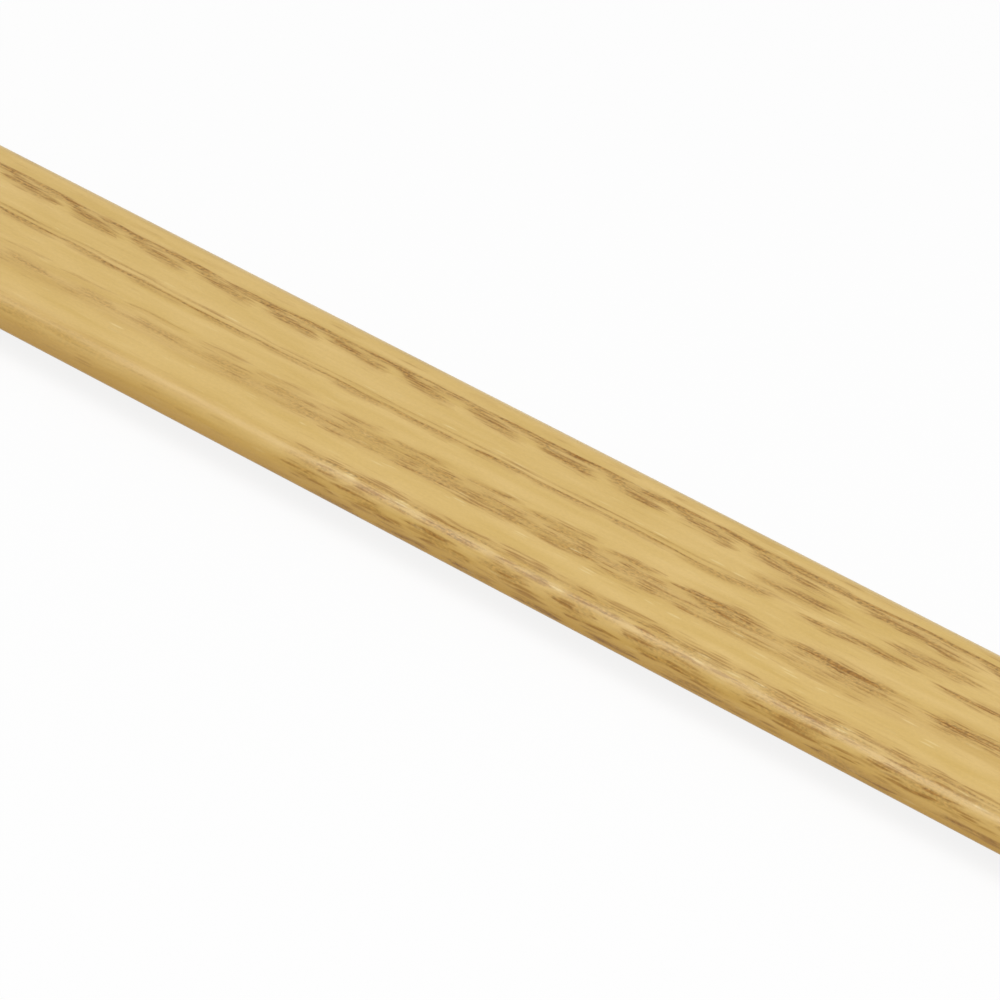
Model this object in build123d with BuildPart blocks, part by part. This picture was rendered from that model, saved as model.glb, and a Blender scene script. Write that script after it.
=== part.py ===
from build123d import *
import os

# T-moulding for a floor joint: one straight length of T section with a crowned face.
# The face bridges two floor coverings, the wings rest on them, and the tongue hangs in the gap.
# Frame: X along the length, Y across the face, Z up. Origin: middle of the tongue's foot.

# Driving dimensions, in millimetres
length = 900.0          # stock cut for one doorway
face_width = 45.0       # across the face, edge to edge
wing_thickness = 6.4    # wing's underside to the top of the crown
crown_rise = 0.5        # how far the middle of the face stands above its edges
shoulder_radius = 4.0   # long rounded edge between the face and the side
lip_radius = 1.2        # lower edge of each wing
bearing_land = 6.0      # outer strip of each wing's underside that bears on the floor covering
relief_depth = 0.4      # shallow hollow between the bearing lands and the tongue
relief_slope = 45.0     # slope of the hollow's outer sides, in degrees
tongue_width = 15.5     # thickness of the tongue that hangs in the gap
tongue_depth = 5.6      # wing's underside to the tongue's foot
tongue_chamfer = 1.2    # lead-in along the tongue's foot
root_radius = 0.8       # inner corner between the tongue and the wing

# Places that follow from them
half_face = face_width / 2
crown_top = tongue_depth + wing_thickness
face_edge = crown_top - crown_rise
hollow_width = face_width - 2 * bearing_land
hollow_roof = tongue_depth + relief_depth

with BuildPart() as t_moulding:
    with BuildSketch(Plane.YZ) as section:
        # Head: a flat bar with a crowned top, rounded at its shoulders and its lips
        with BuildLine() as head_outline:
            crown = ThreePointArc((-half_face, face_edge), (0, crown_top), (half_face, face_edge))
            Polyline(crown @ 1, (half_face, tongue_depth), (-half_face, tongue_depth), crown @ 0)
        make_face()
        fillet(section.vertices().group_by(Axis.Y)[-1], shoulder_radius)
        fillet(section.vertices().group_by(Axis.Y)[0], lip_radius)

        # Hollow across the underside, so that only the two outer lands bear on the floor
        with Locations((0, tongue_depth)):
            Trapezoid(
                hollow_width,
                relief_depth,
                relief_slope,
                align=(Align.CENTER, Align.MIN),
                mode=Mode.SUBTRACT,
            )

        # Tongue: hangs from the hollow's roof, with rounded roots and a lead-in along its foot
        Rectangle(tongue_width, hollow_roof, align=(Align.CENTER, Align.MIN))
        fillet(section.vertices().sort_by_distance((0, hollow_roof))[:2], root_radius)
        chamfer(section.vertices().group_by(Axis.Y)[0], tongue_chamfer)
    extrude(amount=length / 2, both=True)

t_moulding.part.label = "t_moulding"

os.makedirs("parts", exist_ok=True)
export_step(t_moulding.part, "parts/t_moulding.step")
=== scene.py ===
import math
from collections import namedtuple

import bmesh
import bpy
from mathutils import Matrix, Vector


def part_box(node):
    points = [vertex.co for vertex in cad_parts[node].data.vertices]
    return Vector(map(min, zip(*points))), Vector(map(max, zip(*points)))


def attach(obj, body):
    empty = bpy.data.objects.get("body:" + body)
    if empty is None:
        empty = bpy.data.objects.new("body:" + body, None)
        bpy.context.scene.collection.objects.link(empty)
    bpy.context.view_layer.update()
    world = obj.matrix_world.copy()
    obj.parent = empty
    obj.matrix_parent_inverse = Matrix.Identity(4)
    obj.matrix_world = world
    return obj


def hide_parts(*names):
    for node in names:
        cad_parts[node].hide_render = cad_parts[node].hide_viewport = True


# T-moulding for a floor joint: one length of fibreboard, milled to a T section and wrapped
# in an oak-printed foil. Lengths are in metres, and foil patterns are laid out in millimetres.

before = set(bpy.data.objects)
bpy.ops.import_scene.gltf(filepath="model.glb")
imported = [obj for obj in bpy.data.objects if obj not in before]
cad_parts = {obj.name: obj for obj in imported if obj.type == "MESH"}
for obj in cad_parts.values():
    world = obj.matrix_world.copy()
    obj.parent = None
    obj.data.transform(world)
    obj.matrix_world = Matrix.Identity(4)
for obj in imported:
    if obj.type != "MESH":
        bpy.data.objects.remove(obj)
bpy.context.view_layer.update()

MM = 0.001

# Section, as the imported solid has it
lowest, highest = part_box("t_moulding")
length = highest[0] - lowest[0]
face_width = highest[1] - lowest[1]
crown_top = highest[2]
wing_foot = 5.6 * MM
crown_rise = 0.5 * MM
shoulder_radius = 4.0 * MM
lip_radius = 1.2 * MM
bearing_land = 6.0 * MM
relief_depth = 0.4 * MM
tongue_width = 15.5 * MM
tongue_chamfer = 1.2 * MM
root_radius = 0.8 * MM

half_face = face_width / 2
face_edge = crown_top - crown_rise
hollow_roof = wing_foot + relief_depth
half_tongue = tongue_width / 2
board_middle = crown_top / 2

# Making
saw_arris = 0.12 * MM        # wear left by the saw along each end's outline
foil_turn_in = 3.0 * MM      # how far the foil is turned under the wing, past the lip
foil_end = half_face - lip_radius - foil_turn_in
shoulder_steps = 16          # facets round a shoulder
lip_steps = 8
root_steps = 4
crown_spacing = 1.2 * MM     # lengthwise lines over the crown
touch = 0.01 * MM            # two places this near are the same


# Modelling helpers

def pick(mesh_object, wanted, kind="FACE"):
    """Deselects all, then selects the faces, edges or corners that wanted() accepts."""
    bpy.ops.mesh.select_mode(type=kind)
    bpy.ops.mesh.select_all(action="DESELECT")
    shape = bmesh.from_edit_mesh(mesh_object.data)
    choices = {"FACE": shape.faces, "EDGE": shape.edges, "VERT": shape.verts}[kind]
    for item in choices:
        if wanted(item):
            item.select_set(True)
    shape.select_flush_mode()
    bmesh.update_edit_mesh(mesh_object.data)


def faces_down(face):
    return face.normal.z < -0.9


def long_edge_at(y, z):
    """Accepts the edges that run along the moulding at height z, y either side of its middle."""
    def wanted(edge):
        ends = [corner.co for corner in edge.verts]
        runs_along = abs(ends[0].x - ends[1].x) > touch
        return runs_along and all(abs(abs(p.y) - y) < touch and abs(p.z - z) < touch for p in ends)
    return wanted


def round_long_edges(moulding, y, z, radius, steps):
    pick(moulding, long_edge_at(y, z), "EDGE")
    bpy.ops.mesh.bevel(offset=radius, offset_type="OFFSET", segments=steps, profile=0.5)


def cut_lengthwise(y, wanted):
    """Cuts the accepted faces along two lines, y either side of the middle."""
    for side in (-1, 1):
        pick(bpy.context.object, wanted)
        bpy.ops.mesh.bisect(plane_co=(0, side * y, 0), plane_no=(0, 1, 0))


# The moulding

def milled_bar():
    """Mills the T section: a bar gets its tongue, its hollow underside, its crown and its rounds."""
    bpy.ops.object.select_all(action="DESELECT")
    bar_length = length - 2 * saw_arris
    bpy.ops.mesh.primitive_cube_add(
        size=1,
        location=(0, 0, (wing_foot + face_edge) / 2),
        scale=(bar_length, face_width, face_edge - wing_foot),
    )
    moulding = bpy.context.object
    moulding.name = "oak_moulding"
    moulding.data.name = "oak_moulding"
    bpy.ops.object.transform_apply(location=True, rotation=True, scale=True)
    bpy.ops.object.mode_set(mode="EDIT")

    # Tongue, drawn down from a strip along the middle of the underside
    cut_lengthwise(half_tongue, faces_down)
    pick(moulding, lambda face: faces_down(face) and abs(face.calc_center_median().y) < touch)
    bpy.ops.mesh.extrude_region_move(TRANSFORM_OT_translate={"value": (0, 0, -wing_foot)})

    # Hollow either side of it, which leaves a bearing land along each edge
    hollow_foot = half_face - bearing_land
    hollow_head = hollow_foot - relief_depth
    for y in (hollow_foot, hollow_head):
        cut_lengthwise(y, lambda face: faces_down(face) and face.calc_center_median().z > touch)
    pick(
        moulding,
        lambda corner: abs(corner.co.z - wing_foot) < touch and abs(corner.co.y) < hollow_head + touch,
        "VERT",
    )
    bpy.ops.transform.translate(value=(0, 0, relief_depth))

    # Rounds and lead-ins along the length
    round_long_edges(moulding, half_face, face_edge, shoulder_radius, shoulder_steps)
    round_long_edges(moulding, half_face, wing_foot, lip_radius, lip_steps)
    round_long_edges(moulding, half_tongue, hollow_roof, root_radius, root_steps)
    round_long_edges(moulding, half_tongue, 0, tongue_chamfer, 1)

    # Line where the turned-in foil ends
    cut_lengthwise(
        foil_end,
        lambda face: faces_down(face) and abs(face.calc_center_median().z - wing_foot) < touch,
    )

    # Crown: lines along the face, each raised to the arc
    crown_lines = int((half_face - shoulder_radius) / crown_spacing)
    for step in range(crown_lines + 1):
        cut_lengthwise(step * crown_spacing, lambda face: face.normal.z > 0.99)
    shape = bmesh.from_edit_mesh(moulding.data)
    upper = {round(abs(v.co.y) / touch) for v in shape.verts if v.co.z > face_edge - shoulder_radius}
    for place in sorted(upper):
        y = place * touch
        pick(
            moulding,
            lambda corner: abs(abs(corner.co.y) - y) < touch
            and corner.co.z > face_edge - shoulder_radius,
            "VERT",
        )
        bpy.ops.transform.translate(value=(0, 0, crown_rise * (1 - (y / half_face) ** 2)))

    # Sawn ends, with the arris that the saw leaves
    pick(moulding, lambda face: abs(face.normal.x) > 0.9)
    bpy.ops.mesh.inset(thickness=saw_arris, depth=saw_arris)

    bpy.ops.mesh.select_all(action="SELECT")
    bpy.ops.mesh.remove_doubles(threshold=touch / 4)
    bpy.ops.mesh.normals_make_consistent(inside=False)
    bpy.ops.object.mode_set(mode="OBJECT")
    bpy.ops.object.shade_smooth_by_angle(angle=math.radians(25))
    return moulding


def foil_place(y, z):
    """Distance round the section from the middle of the crown, in metres, negative on the -Y side."""
    y_size = abs(y)
    shoulder_start = half_face - shoulder_radius
    shoulder_foot = face_edge - shoulder_radius
    lip_head = wing_foot + lip_radius
    round_shoulder = shoulder_start + shoulder_radius * math.pi / 2
    if z >= shoulder_foot and y_size > shoulder_start:
        turn = math.atan2(y_size - shoulder_start, max(z - shoulder_foot, 0))
        place = shoulder_start + shoulder_radius * turn
    elif z >= shoulder_foot:
        place = y_size
    elif z > lip_head:
        place = round_shoulder + shoulder_foot - z
    else:
        side = shoulder_foot - lip_head
        turn = math.atan2(lip_head - z, max(y_size - half_face + lip_radius, 0))
        under = max(half_face - lip_radius - y_size, 0)
        place = round_shoulder + side + lip_radius * turn + under
    return math.copysign(place, y)


def lay_out_foil(moulding):
    """Gives each corner its place on the flat foil, in millimetres: along the length, and across."""
    layout = moulding.data.attributes.new("foil_mm", "FLOAT_VECTOR", "POINT")
    for corner in moulding.data.vertices:
        across = foil_place(corner.co.y, corner.co.z)
        layout.data[corner.index].vector = (corner.co.x / MM, across / MM, 0)


# Materials

# Colours, as sRGB hex
STRAW, PALE_STRAW = "#D7B466", "#E3C17A"      # ground of the print
# Painted shade: the ground colour, darkened and deepened down both sides of the moulding
SHADED_SIDE_STRAW = "#D39E28"                        # the same, deeper down the sides
HAZE_INK = "#9B6400"
PORE_INK = "#8E5700"
# Pale ink, for printed strokes and for the painted highlight along the near shoulder
GLINT_INK = "#F0D89B"
FELT, PALE_FELT = "#A88659", "#C8A877"        # fibreboard
PRESSED_FELT = "#8C6A40"
FLOOR_GREY = "#CFCFCF"
WHITE = "#FFFFFF"

NOISE_SPAN = (0.3, 0.7)      # nearly all of a noise texture lies between these


def linear(colour):
    """An sRGB hex colour as Blender's linear RGBA."""
    channels = [int(colour[i:i + 2], 16) / 255 for i in (1, 3, 5)]
    return [c / 12.92 if c <= 0.04045 else ((c + 0.055) / 1.055) ** 2.4 for c in channels] + [1.0]


def node(tree, kind, inputs=(), **settings):
    """Adds a node. An input is a value, a socket, or a node that stands for its first output."""
    made = tree.nodes.new("ShaderNode" + kind)
    for name, value in settings.items():
        setattr(made, name, value)
    named = inputs.items() if isinstance(inputs, dict) else enumerate(inputs)
    for place, value in named:
        if isinstance(value, bpy.types.Node):
            value = value.outputs[0]
        if isinstance(value, bpy.types.NodeSocket):
            tree.links.new(value, made.inputs[place])
        elif value is not None:
            made.inputs[place].default_value = value
    return made


def new_material(name):
    material = bpy.data.materials.new(name)
    material.use_nodes = True
    material.node_tree.nodes.clear()
    return material, material.node_tree


# Oak print. A row is a line of flecks along the length, one to each repeat of the print.
#   across, height    its place across the foil, and how far it spreads either side, in mm
#   offset            where its flecks lie along the length, in repeats
#   gap               at -1 its flecks run into a streak, at 0 they touch, above 0 they part
#   slant             how far a fleck climbs across the foil in one repeat, in mm
#   haze, pores       strength of its brown tint, and of its dark pore lines
#   swell             which of the swells it waxes and wanes with along the length
#   base, swing       its strength is base, plus swing times the swell, kept within 0 and 1
Row = namedtuple("Row", "across height offset gap slant haze pores swell base swing")
DARK_ROWS = [
    # Back side, and the first faint row of the face
    Row(24.4, 1.00, 0.60, 0.10, 0.0, 0.24, 0.7, 0, 0.7, 0.3),
    Row(21.3, 0.90, 0.15, 0.20, 0.0, 0.24, 0.7, 0, 0.7, 0.3),
    Row(17.8, 0.60, 0.21, 0.30, 0.0, 0.14, 0.3, 0, 0.8, 0.2),
    # A streak that swells, and a fleck that slants away under each swelling
    Row(15.4, 0.32, 0.00, -1.0, 0.0, 0.36, 0.4, 0, 1.0, 0.0),
    Row(14.9, 0.85, 0.00, -0.15, -0.6, 0.36, 0.7, 0, 1.0, 0.0),
    Row(13.0, 1.45, -0.36, -0.25, -2.4, 0.42, 1.0, 0, 1.0, 0.0),
    # Broad flecks, there only where their swell is up
    Row(7.9, 1.70, 0.90, -0.05, 1.0, 0.40, 0.8, 1, 0.0, 5.0),
    # A thin line with haze under it, which gives way to climbing flecks where the swell is up
    Row(3.6, 0.36, 0.00, -1.0, 0.0, 0.48, 0.3, 1, 1.0, -4.0),
    Row(2.8, 0.70, 0.20, -0.30, 0.0, 0.30, 0.15, 1, 1.0, -4.0),
    Row(4.9, 0.32, 0.20, -0.50, 0.0, 0.30, 0.4, 1, 1.0, -3.0),
    Row(3.6, 1.15, 0.50, -0.15, 2.0, 0.47, 0.95, 1, 0.0, 5.0),
    # The middle of the face: climbing flecks over a broad hazy band of long pore lines
    Row(-4.5, 0.85, 0.56, -0.20, 1.2, 0.37, 0.95, 0, 0.62, 0.5),
    Row(-3.9, 0.25, 0.56, -0.10, 0.9, 0.24, 0.2, 0, 0.0, -1.5),
    Row(-5.0, 2.40, 0.64, -0.15, -0.5, 0.24, 1.0, 1, 0.0, 5.0),
    Row(-6.4, 1.00, 0.84, -0.15, -0.4, 0.26, 0.65, 2, 0.05, 1.1),
    Row(-7.0, 1.10, 0.84, 0.00, -0.6, 0.19, 0.1, 0, 0.0, -1.4),
    Row(-8.2, 0.60, 0.30, -0.30, 0.3, 0.14, 0.9, 2, 0.05, 0.95),
    Row(-10.0, 0.70, 0.85, -0.30, 0.6, 0.26, 0.9, 2, 0.05, 0.95),
    Row(-8.4, 2.50, 0.00, -1.0, 0.0, 0.21, 0.2, 1, 0.85, -0.35),
    Row(-8.6, 2.20, 0.00, -1.0, 0.0, 0.04, 0.6, 2, 0.05, 0.95),
    # The near shoulder
    Row(-17.9, 1.35, 0.60, -0.45, 0.0, 0.18, 0.95, 0, 0.2, 4.0),
    Row(-18.7, 0.36, 0.00, -1.0, 0.0, 0.26, 0.8, 0, 0.2, 4.0),
    Row(-20.3, 1.00, 0.85, -0.30, 0.0, 0.27, 0.95, 0, 0.2, 4.0),
    Row(-20.0, 1.80, 0.00, -1.0, 0.0, 0.08, 0.1, 0, 1.0, 0.0),
    Row(-19.6, 2.60, 0.00, -1.0, 0.0, 0.19, 0.1, 0, 0.0, -1.3),
    # The near side
    Row(-22.6, 1.40, 0.00, -1.0, 0.0, 0.10, 0.2, 0, 1.0, 0.0),
    Row(-22.2, 0.80, 0.62, -0.10, -0.4, 0.23, 1.1, 0, 0.2, 4.0),
    Row(-23.6, 0.70, 0.90, -0.15, 0.0, 0.19, 1.1, 0, 0.2, 4.0),
    Row(-23.2, 1.40, 0.66, -0.15, 0.0, 0.09, 1.0, 1, 0.0, 4.0),
    Row(-25.4, 0.70, 0.25, -0.10, 0.0, 0.34, 1.1, 0, 0.2, 4.0),
]
# Rows whose tint and lines are paler than the ground: printed strokes between the dark rows, and painted
# highlight patches along the near shoulder
PALE_ROWS = [
    Row(5.8, 0.50, 0.30, 0.10, 0.0, 0.0, 0.7, 0, 0.8, 0.0),
    Row(-12.2, 0.80, 0.45, 0.25, 0.2, 0.0, 0.9, 0, 0.8, 0.4),
    Row(-9.4, 0.40, 0.10, 0.20, 0.0, 0.0, 0.4, 0, 0.5, 0.5),
    # Painted highlight: pale patches and strokes along the near shoulder
    Row(-19.6, 1.20, 0.15, 0.05, 0.0, 0.15, 0.5, 0, 0.2, 4.0),
]

# Length of one repeat along the moulding: (place where the stretch ends, repeat), in mm
REPEATS = [
    (-330, 26), (-235, 21), (-160, 28), (60, 18.2), (92, 38),
    (160, 31), (270, 22), (350, 29), (450, 19),
]
FIRST_PLACE = -450.0
REPEAT_AT_MIDDLE = 0.43      # repeats from the middle back to a fleck of a row with no offset
IN_STEP, LOOSEST = 165.0, 260.0   # rows keep step up to the first place, and are loosest past the second
DRIFT, DRIFT_WAVE = 0.9, 500.0    # how far the grain drifts across the foil, and over what length
SWELL_WAVE = 420.0           # length over which rows wax and wane
SWELL_STARTS = (-40.0, 50.0, -85.0)    # where each of the swells begins to rise


def sine_along(tree, along, wave, start):
    """A sine along the length, -1 to 1, that passes 0 on its way up at start."""
    turn = 2 * math.pi / wave
    angle = node(tree, "Math", [along, turn, -start * turn], operation="MULTIPLY_ADD")
    return node(tree, "Math", [angle], operation="SINE")


def repeat_curve(tree, along):
    """Counts the print's repeats along the moulding, so that flecks are closer in some stretches."""
    span = REPEATS[-1][0] - FIRST_PLACE
    counts = [0.0]
    start = FIRST_PLACE
    for end, repeat in REPEATS:
        counts.append(counts[-1] + (end - start) / repeat)
        start = end
    places = [FIRST_PLACE] + [end for end, repeat in REPEATS]
    total = counts[-1]
    share = node(tree, "MapRange", [along, FIRST_PLACE, REPEATS[-1][0], 0.0, 1.0])
    curve = node(tree, "FloatCurve", [1.0, share])
    line = curve.mapping.curves[0]
    for index, (place, count) in enumerate(zip(places, counts)):
        x, y = (place - FIRST_PLACE) / span, count / total
        if index in (0, len(places) - 1):
            line.points[-1 if index else 0].location = (x, y)
        else:
            line.points.new(x, y)
    for point in line.points:
        point.handle_type = "VECTOR"
    curve.mapping.update()
    middle = next(i for i, place in enumerate(places) if place > 0)
    at_middle = counts[middle - 1] + (0 - places[middle - 1]) / REPEATS[middle - 1][1]
    return node(tree, "Math", [curve, total, REPEAT_AT_MIDDLE - at_middle], operation="MULTIPLY_ADD")


def row_of_flecks(tree, repeats, across, swells, row):
    """How strongly a row of flecks covers each point, 0 to 1."""
    turns = node(tree, "Math", [repeats, row.offset], operation="SUBTRACT")
    wave = node(tree, "Math", [turns, 2 * math.pi], operation="MULTIPLY")
    wave = node(tree, "Math", [wave], operation="COSINE")
    edge = 2 * row.gap - 1
    fade = 1.3               # how much of the wave, from -1 to 1, a fleck's ends fade over
    fill = node(tree, "MapRange", [wave, edge, edge + fade, 0.0, 1.0], interpolation_type="SMOOTHSTEP")

    # A fleck climbs along its length, and is thin at both ends
    place = node(tree, "Math", [turns, 0.5], operation="ADD")
    place = node(tree, "Math", [place], operation="FRACT")
    foot = row.across - row.slant / 2
    middle = node(tree, "Math", [place, row.slant, foot], operation="MULTIPLY_ADD")
    off = node(tree, "Math", [across, middle], operation="SUBTRACT")
    height = node(tree, "Math", [fill, 0.5 * row.height, 0.5 * row.height], operation="MULTIPLY_ADD")
    off = node(tree, "Math", [off, height], operation="DIVIDE")
    off = node(tree, "Math", [off, off], operation="MULTIPLY")
    off = node(tree, "Math", [off, -1.0], operation="MULTIPLY")
    cover = node(tree, "Math", [off], operation="EXPONENT")
    cover = node(tree, "Math", [cover, fill], operation="MULTIPLY")
    strength = [swells[row.swell], row.swing, row.base]
    gain = node(tree, "Math", strength, operation="MULTIPLY_ADD", use_clamp=True)
    return node(tree, "Math", [cover, gain], operation="MULTIPLY")


def printed_rows(tree, repeats, across, swells, rows):
    """Adds up rows of flecks: their tint, and the room that they give to pore lines."""
    tint = room = None
    for row in rows:
        cover = row_of_flecks(tree, repeats, across, swells, row)
        row_tint = node(tree, "Math", [cover, row.haze], operation="MULTIPLY")
        row_room = node(tree, "Math", [cover, row.pores], operation="MULTIPLY")
        tint = node(tree, "Math", [tint, row_tint], operation="ADD") if tint else row_tint
        room = node(tree, "Math", [room, row_room], operation="MAXIMUM") if room else row_room
    return tint, room


def grain_noise(tree, place, along_mm, across_mm, low, high, detail=2.0, seed=0.0):
    """Noise stretched along the grain, with features of these sizes, from low to high."""
    scale = (1 / along_mm, 1 / across_mm, 0)
    size = node(tree, "VectorMath", [place, scale, (seed, seed, seed)], operation="MULTIPLY_ADD")
    noise = node(tree, "TexNoise", {"Vector": size, "Scale": 1.0, "Detail": detail, "Roughness": 0.55})
    return node(tree, "MapRange", [noise, *NOISE_SPAN, low, high])


def pore_lines(tree, place, length_mm, pitch_mm, room):
    """Strokes along the grain, one to a cell of this size, drawn where there is room for them."""
    size = node(tree, "VectorMath", [place, (1 / length_mm, 1 / pitch_mm, 0)], operation="MULTIPLY")
    spread = {"Vector": size, "Scale": 1.0, "Randomness": 0.75}
    cells = node(tree, "TexVoronoi", spread, voronoi_dimensions="2D")
    chance = node(tree, "SeparateColor", [cells.outputs["Color"]]).outputs["Red"]
    rim, core = 0.35, 0.16       # a stroke fades in between these distances from its cell's middle
    stroke = node(tree, "MapRange", [cells.outputs["Distance"], rim, core, 0.0, 1.0])
    spare = node(tree, "Math", [room, chance], operation="SUBTRACT")
    faint, full = -0.10, 0.15    # and between these amounts of spare room
    drawn = node(tree, "MapRange", [spare, faint, full, 0.0, 1.0])
    return node(tree, "Math", [stroke, drawn], operation="MULTIPLY")


def printed_oak_foil():
    """Decor foil: paper or PVC printed with oak, under a satin lacquer. To the eye it is a warm
    straw ground with soft brown flecks, each a comb of fine pore lines, and a broad, quiet sheen."""
    material, tree = new_material("printed_oak_foil")
    layout = node(tree, "Attribute", attribute_name="foil_mm", attribute_type="GEOMETRY")
    place = layout.outputs["Vector"]
    along, flat = node(tree, "SeparateXYZ", [place]).outputs[:2]

    # The grain drifts and wanders across the foil, and strand by strand its flecks are frayed
    drift = sine_along(tree, along, DRIFT_WAVE, 0.0)
    across = node(tree, "Math", [drift, -DRIFT, flat], operation="MULTIPLY_ADD")
    wander = grain_noise(tree, place, along_mm=35, across_mm=9, low=-0.4, high=0.4)
    across = node(tree, "Math", [across, wander], operation="ADD")
    fray = grain_noise(tree, place, along_mm=14, across_mm=0.8, low=-0.3, high=0.3, seed=7.0)
    frayed = node(tree, "Math", [across, fray], operation="ADD")
    grain = node(tree, "CombineXYZ", [along, across, 0.0])

    # Flecks come at each repeat of the print, and wax and wane over a longer stretch. Towards
    # both ends the repeats are looser, so that the rows there don't keep step.
    repeats = repeat_curve(tree, along)
    stagger = grain_noise(tree, grain, along_mm=20, across_mm=0.8, low=-0.11, high=0.11, seed=3.0)
    repeats = node(tree, "Math", [repeats, stagger], operation="ADD")
    from_middle = node(tree, "Math", [along], operation="ABSOLUTE")
    looseness = node(tree, "MapRange", [from_middle, IN_STEP, LOOSEST, 0.0, 0.5])
    shift = grain_noise(tree, grain, along_mm=60, across_mm=3.0, low=-1.0, high=1.0, seed=11.0)
    repeats = node(tree, "Math", [shift, looseness, repeats], operation="MULTIPLY_ADD")
    swells = [sine_along(tree, along, SWELL_WAVE, start) for start in SWELL_STARTS]
    dark_tint, dark_room = printed_rows(tree, repeats, frayed, swells, DARK_ROWS)
    shoulder_highlight_tint, pale_room = printed_rows(tree, repeats, frayed, swells, PALE_ROWS)

    # Pores: long lines and short ones, as many as the rows give room for. The real ones are
    # 0.2 mm wide. These are 0.5 mm, because finer ones don't show at the picture's scale.
    long_pores = pore_lines(tree, grain, length_mm=22, pitch_mm=0.9, room=dark_room)
    short_pores = pore_lines(tree, grain, length_mm=9, pitch_mm=0.75, room=dark_room)
    pores = node(tree, "Math", [long_pores, 0.8, short_pores], operation="MULTIPLY_ADD", use_clamp=True)

    # Pores are darkest where they are densest
    pore_depth = node(tree, "Math", [dark_room, 0.34, 0.22], operation="MULTIPLY_ADD")
    pore_tint = node(tree, "Math", [pores, pore_depth], operation="MULTIPLY")
    glint = pore_lines(tree, grain, length_mm=7.0, pitch_mm=0.8, room=pale_room)

    # Strands break the tint up along the grain
    strands = grain_noise(tree, grain, along_mm=16, across_mm=0.7, low=0.55, high=1.45, seed=5.0)
    tint = node(tree, "Math", [dark_tint, strands], operation="MULTIPLY", use_clamp=True)

    # Inks over the ground, which has painted shade down both sides: there it is darker and deeper in tone
    clouds = grain_noise(tree, grain, along_mm=34, across_mm=3.0, low=0.0, high=1.0, detail=3.0)
    ground = node(tree, "Mix", {0: clouds, 6: linear(STRAW), 7: linear(PALE_STRAW)}, data_type="RGBA")
    reach = node(tree, "Math", [flat], operation="ABSOLUTE")
    shoulder, lip = 21.7, 26.0
    # Painted shade, from the shoulder round to the lip
    side_shade = node(tree, "MapRange", [reach, shoulder, lip, 0.0, 0.95])
    side_shaded = node(tree, "Mix", {0: side_shade, 6: ground.outputs[2], 7: linear(SHADED_SIDE_STRAW)}, data_type="RGBA")
    hazed = node(tree, "Mix", {0: tint, 6: side_shaded.outputs[2], 7: linear(HAZE_INK)}, data_type="RGBA")
    printed = node(tree, "Mix", {0: pore_tint, 6: hazed.outputs[2], 7: linear(PORE_INK)}, data_type="RGBA")
    # Pale strokes of the print, and the painted highlight along the near shoulder
    pale = node(tree, "Math", [glint, 0.45, shoulder_highlight_tint], operation="MULTIPLY_ADD")
    lit = node(tree, "Mix", {0: pale, 6: printed.outputs[2], 7: linear(GLINT_INK)}, data_type="RGBA")

    # The print's dots give the darker haze its grit. Real ones are 0.15 mm. These are 0.45 mm
    # across the grain, to show.
    grit = grain_noise(tree, place, along_mm=0.9, across_mm=0.45, low=-1.0, high=0.65, detail=1.0)
    grit_depth = node(tree, "MapRange", [tint, 0.18, 0.55, 0.03, 0.38])
    stipple = node(tree, "Math", [grit, grit_depth, 1.0], operation="MULTIPLY_ADD")
    stippled = node(tree, "VectorMath", {0: lit.outputs[2], "Scale": stipple}, operation="SCALE")

    # A faint orange-peel in the lacquer, drawn out along the grain
    peel = grain_noise(tree, place, along_mm=0.7, across_mm=0.4, low=0.0, high=1.0, detail=1.0, seed=2.0)
    bump = node(tree, "Bump", {"Height": peel, "Strength": 1.0, "Distance": 0.006 * MM})

    lacquer = node(tree, "BsdfPrincipled", {
        "Base Color": stippled,
        "Roughness": 0.33,
        "IOR": 1.5,
        "Normal": bump,
    })
    node(tree, "OutputMaterial", [lacquer])
    return material


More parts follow.
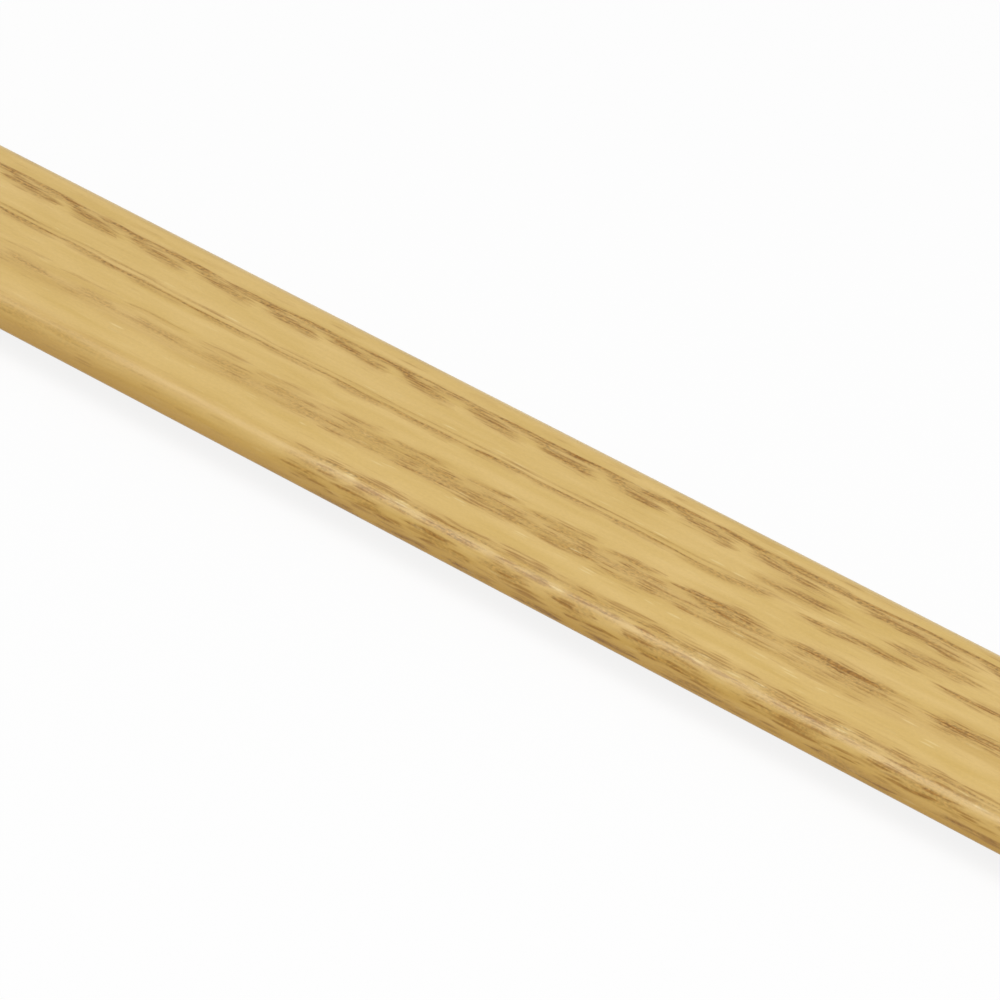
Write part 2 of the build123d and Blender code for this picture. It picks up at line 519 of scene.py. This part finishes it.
def raw_fibreboard():
    """Medium-density fibreboard, sawn and milled and left bare. To the eye it is a matt tan felt
    of short fibres, darker where it is denser near the board's faces, with lines from the blades."""
    material, tree = new_material("raw_fibreboard")
    place = node(tree, "TexCoord").outputs["Object"]

    # Real fibres are 0.03 mm thick. These are bundles of 0.35 mm, to show.
    fibre_length, fibre_thickness = 1.2 * MM, 0.35 * MM
    fibre_count = (1 / fibre_length, 1 / fibre_thickness, 1 / fibre_thickness)
    fibre_place = node(tree, "VectorMath", [place, fibre_count], operation="MULTIPLY")
    fibres = node(tree, "TexNoise", {"Vector": fibre_place, "Scale": 1.0, "Detail": 4.0, "Roughness": 0.7})
    tone = node(tree, "MapRange", [fibres, *NOISE_SPAN, 0.0, 1.0])
    felt = node(tree, "Mix", {0: tone, 6: linear(FELT), 7: linear(PALE_FELT)}, data_type="RGBA")

    # Board is pressed densest at its two faces
    height = node(tree, "SeparateXYZ", [place]).outputs["Z"]
    from_middle = node(tree, "Math", [height, board_middle], operation="SUBTRACT")
    from_middle = node(tree, "Math", [from_middle], operation="ABSOLUTE")
    dense = node(tree, "MapRange", [from_middle, 2.5 * MM, 6.0 * MM, 0.0, 0.45])
    pressed = node(tree, "Mix", {0: dense, 6: felt.outputs[2], 7: linear(PRESSED_FELT)}, data_type="RGBA")

    # Blades turn about a point off the section, in front and above, so lines are arcs on the ends
    # and run lengthwise elsewhere. Real ones are 0.3 mm apart. These are 0.8 mm, to show.
    line_pitch = 0.8 * MM
    blade_place = {"Vector": place, "Location": (0, 0.11, -0.07), "Scale": (0, 1, 1)}
    from_blade = node(tree, "Mapping", blade_place)
    swept = node(tree, "VectorMath", [from_blade], operation="LENGTH").outputs["Value"]
    wobble = node(tree, "TexNoise", {"Vector": place, "Scale": 1 / (3.0 * MM), "Detail": 2.0})
    turns = node(tree, "Math", [swept, 2 * math.pi / line_pitch], operation="MULTIPLY")
    turns = node(tree, "Math", [wobble, 5.0, turns], operation="MULTIPLY_ADD")
    lines = node(tree, "Math", [turns], operation="SINE")
    worn = node(tree, "MapRange", [wobble, 0.35, 0.65, 0.0, 1.0])
    lines = node(tree, "Math", [lines, worn], operation="MULTIPLY")
    shade = node(tree, "Math", [lines, 0.10, 1.0], operation="MULTIPLY_ADD")
    cut = node(tree, "VectorMath", {0: pressed.outputs[2], "Scale": shade}, operation="SCALE")

    relief = node(tree, "Math", [lines, fibres], operation="ADD")
    bump = node(tree, "Bump", {"Height": relief, "Strength": 1.0, "Distance": 0.03 * MM})
    board = node(tree, "BsdfPrincipled", {"Base Color": cut, "Roughness": 0.85, "IOR": 1.5, "Normal": bump})
    node(tree, "OutputMaterial", [board])
    return material


def studio_paper():
    """Seamless paper: matt and plain. To the eye it is white but for the object's soft shadow, so
    most of its tone is a glow, and the rest takes the light."""
    material, tree = new_material("studio_paper")
    ray = node(tree, "LightPath").outputs
    seen = node(tree, "Math", [ray["Is Camera Ray"], ray["Is Glossy Ray"]], operation="MAXIMUM")
    seen = node(tree, "Math", [seen, ray["Is Transmission Ray"]], operation="MAXIMUM")
    shade = node(tree, "BsdfDiffuse", {"Color": linear(FLOOR_GREY)})
    glow = node(tree, "Emission", {"Color": linear(WHITE), "Strength": 1.08})
    glow_share = 0.8
    share = node(tree, "Math", [seen, glow_share], operation="MULTIPLY")
    mixed = node(tree, "MixShader", [share, shade, glow])
    node(tree, "OutputMaterial", [mixed])
    return material


def dress(moulding, foil, core):
    """Foil over the face, the sides and the turned-in strip. Bare board elsewhere."""
    moulding.data.materials.append(foil)
    moulding.data.materials.append(core)
    for face in moulding.data.polygons:
        y_size = abs(face.center.y)
        bare_land = face.center.z < wing_foot + touch and y_size < foil_end
        hollow_or_tongue = face.center.z < hollow_roof + touch and y_size < half_face - bearing_land
        sawn = abs(face.normal.x) > 0.9
        face.material_index = 1 if bare_land or hollow_or_tongue or sawn else 0


# Studio

def hang_softbox(name, direction, distance, size, power):
    """An area lamp that looks at the moulding's middle. Sizes are in metres, power in watts."""
    lamp = bpy.data.lights.new(name, "AREA")
    lamp.shape = "RECTANGLE"
    lamp.size, lamp.size_y = size
    lamp.energy = power
    softbox = bpy.data.objects.new(name, lamp)
    bpy.context.scene.collection.objects.link(softbox)
    softbox.location = direction * distance
    softbox.rotation_euler = direction.to_track_quat("Z", "Y").to_euler()


def studio():
    bpy.ops.object.select_all(action="DESELECT")
    bpy.ops.mesh.primitive_plane_add(size=12, location=(0, 0, 0))
    floor = bpy.context.object
    floor.name = "studio_floor"
    floor.data.materials.append(studio_paper())

    world = bpy.data.worlds.new("studio_daylight")
    bpy.context.scene.world = world
    world.use_nodes = True
    tree = world.node_tree
    tree.nodes.clear()
    ray = node(tree, "LightPath").outputs
    seen = node(tree, "Math", [ray["Is Camera Ray"], ray["Is Transmission Ray"]], operation="MAXIMUM")
    daylight, backdrop = 0.4, 1.0     # how strongly the sky lights the object, and shows behind it
    strength = node(tree, "MapRange", [seen, 0.0, 1.0, daylight, backdrop])
    sky = node(tree, "Background", {"Color": linear(WHITE), "Strength": strength})
    node(tree, "OutputWorld", [sky])

    # A small softbox on the left, which the near shoulder reflects, and a large one on the right
    hang_softbox(
        "shoulder_softbox", Vector((-0.50, -0.06, 0.86)), distance=1.5, size=(0.8, 0.5), power=4.3,
    )
    hang_softbox(
        "main_softbox", Vector((0.45, -0.25, 0.86)), distance=1.8, size=(1.4, 1.4), power=19.2,
    )


def camera():
    """Long lens, from the front right and above, as the photograph was taken."""
    azimuth, elevation = math.radians(45.2), math.radians(31.0)
    distance = 2.03
    data = bpy.data.cameras.new("camera")
    data.lens = 393.5
    data.sensor_width = 36
    data.clip_start, data.clip_end = 0.1, 30
    eye = bpy.data.objects.new("camera", data)
    bpy.context.scene.collection.objects.link(eye)
    bpy.context.scene.camera = eye
    back = Vector((
        math.sin(azimuth) * math.cos(elevation),
        -math.cos(azimuth) * math.cos(elevation),
        math.sin(elevation),
    ))
    aim = Vector((0, 0, 6.7 * MM))
    eye.location = aim + back * distance
    eye.rotation_euler = back.to_track_quat("Z", "Y").to_euler()


bpy.context.scene.view_settings.view_transform = "Standard"
camera()
studio()
oak_moulding = milled_bar()
lay_out_foil(oak_moulding)
dress(oak_moulding, printed_oak_foil(), raw_fibreboard())
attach(oak_moulding, "root")
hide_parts("t_moulding")
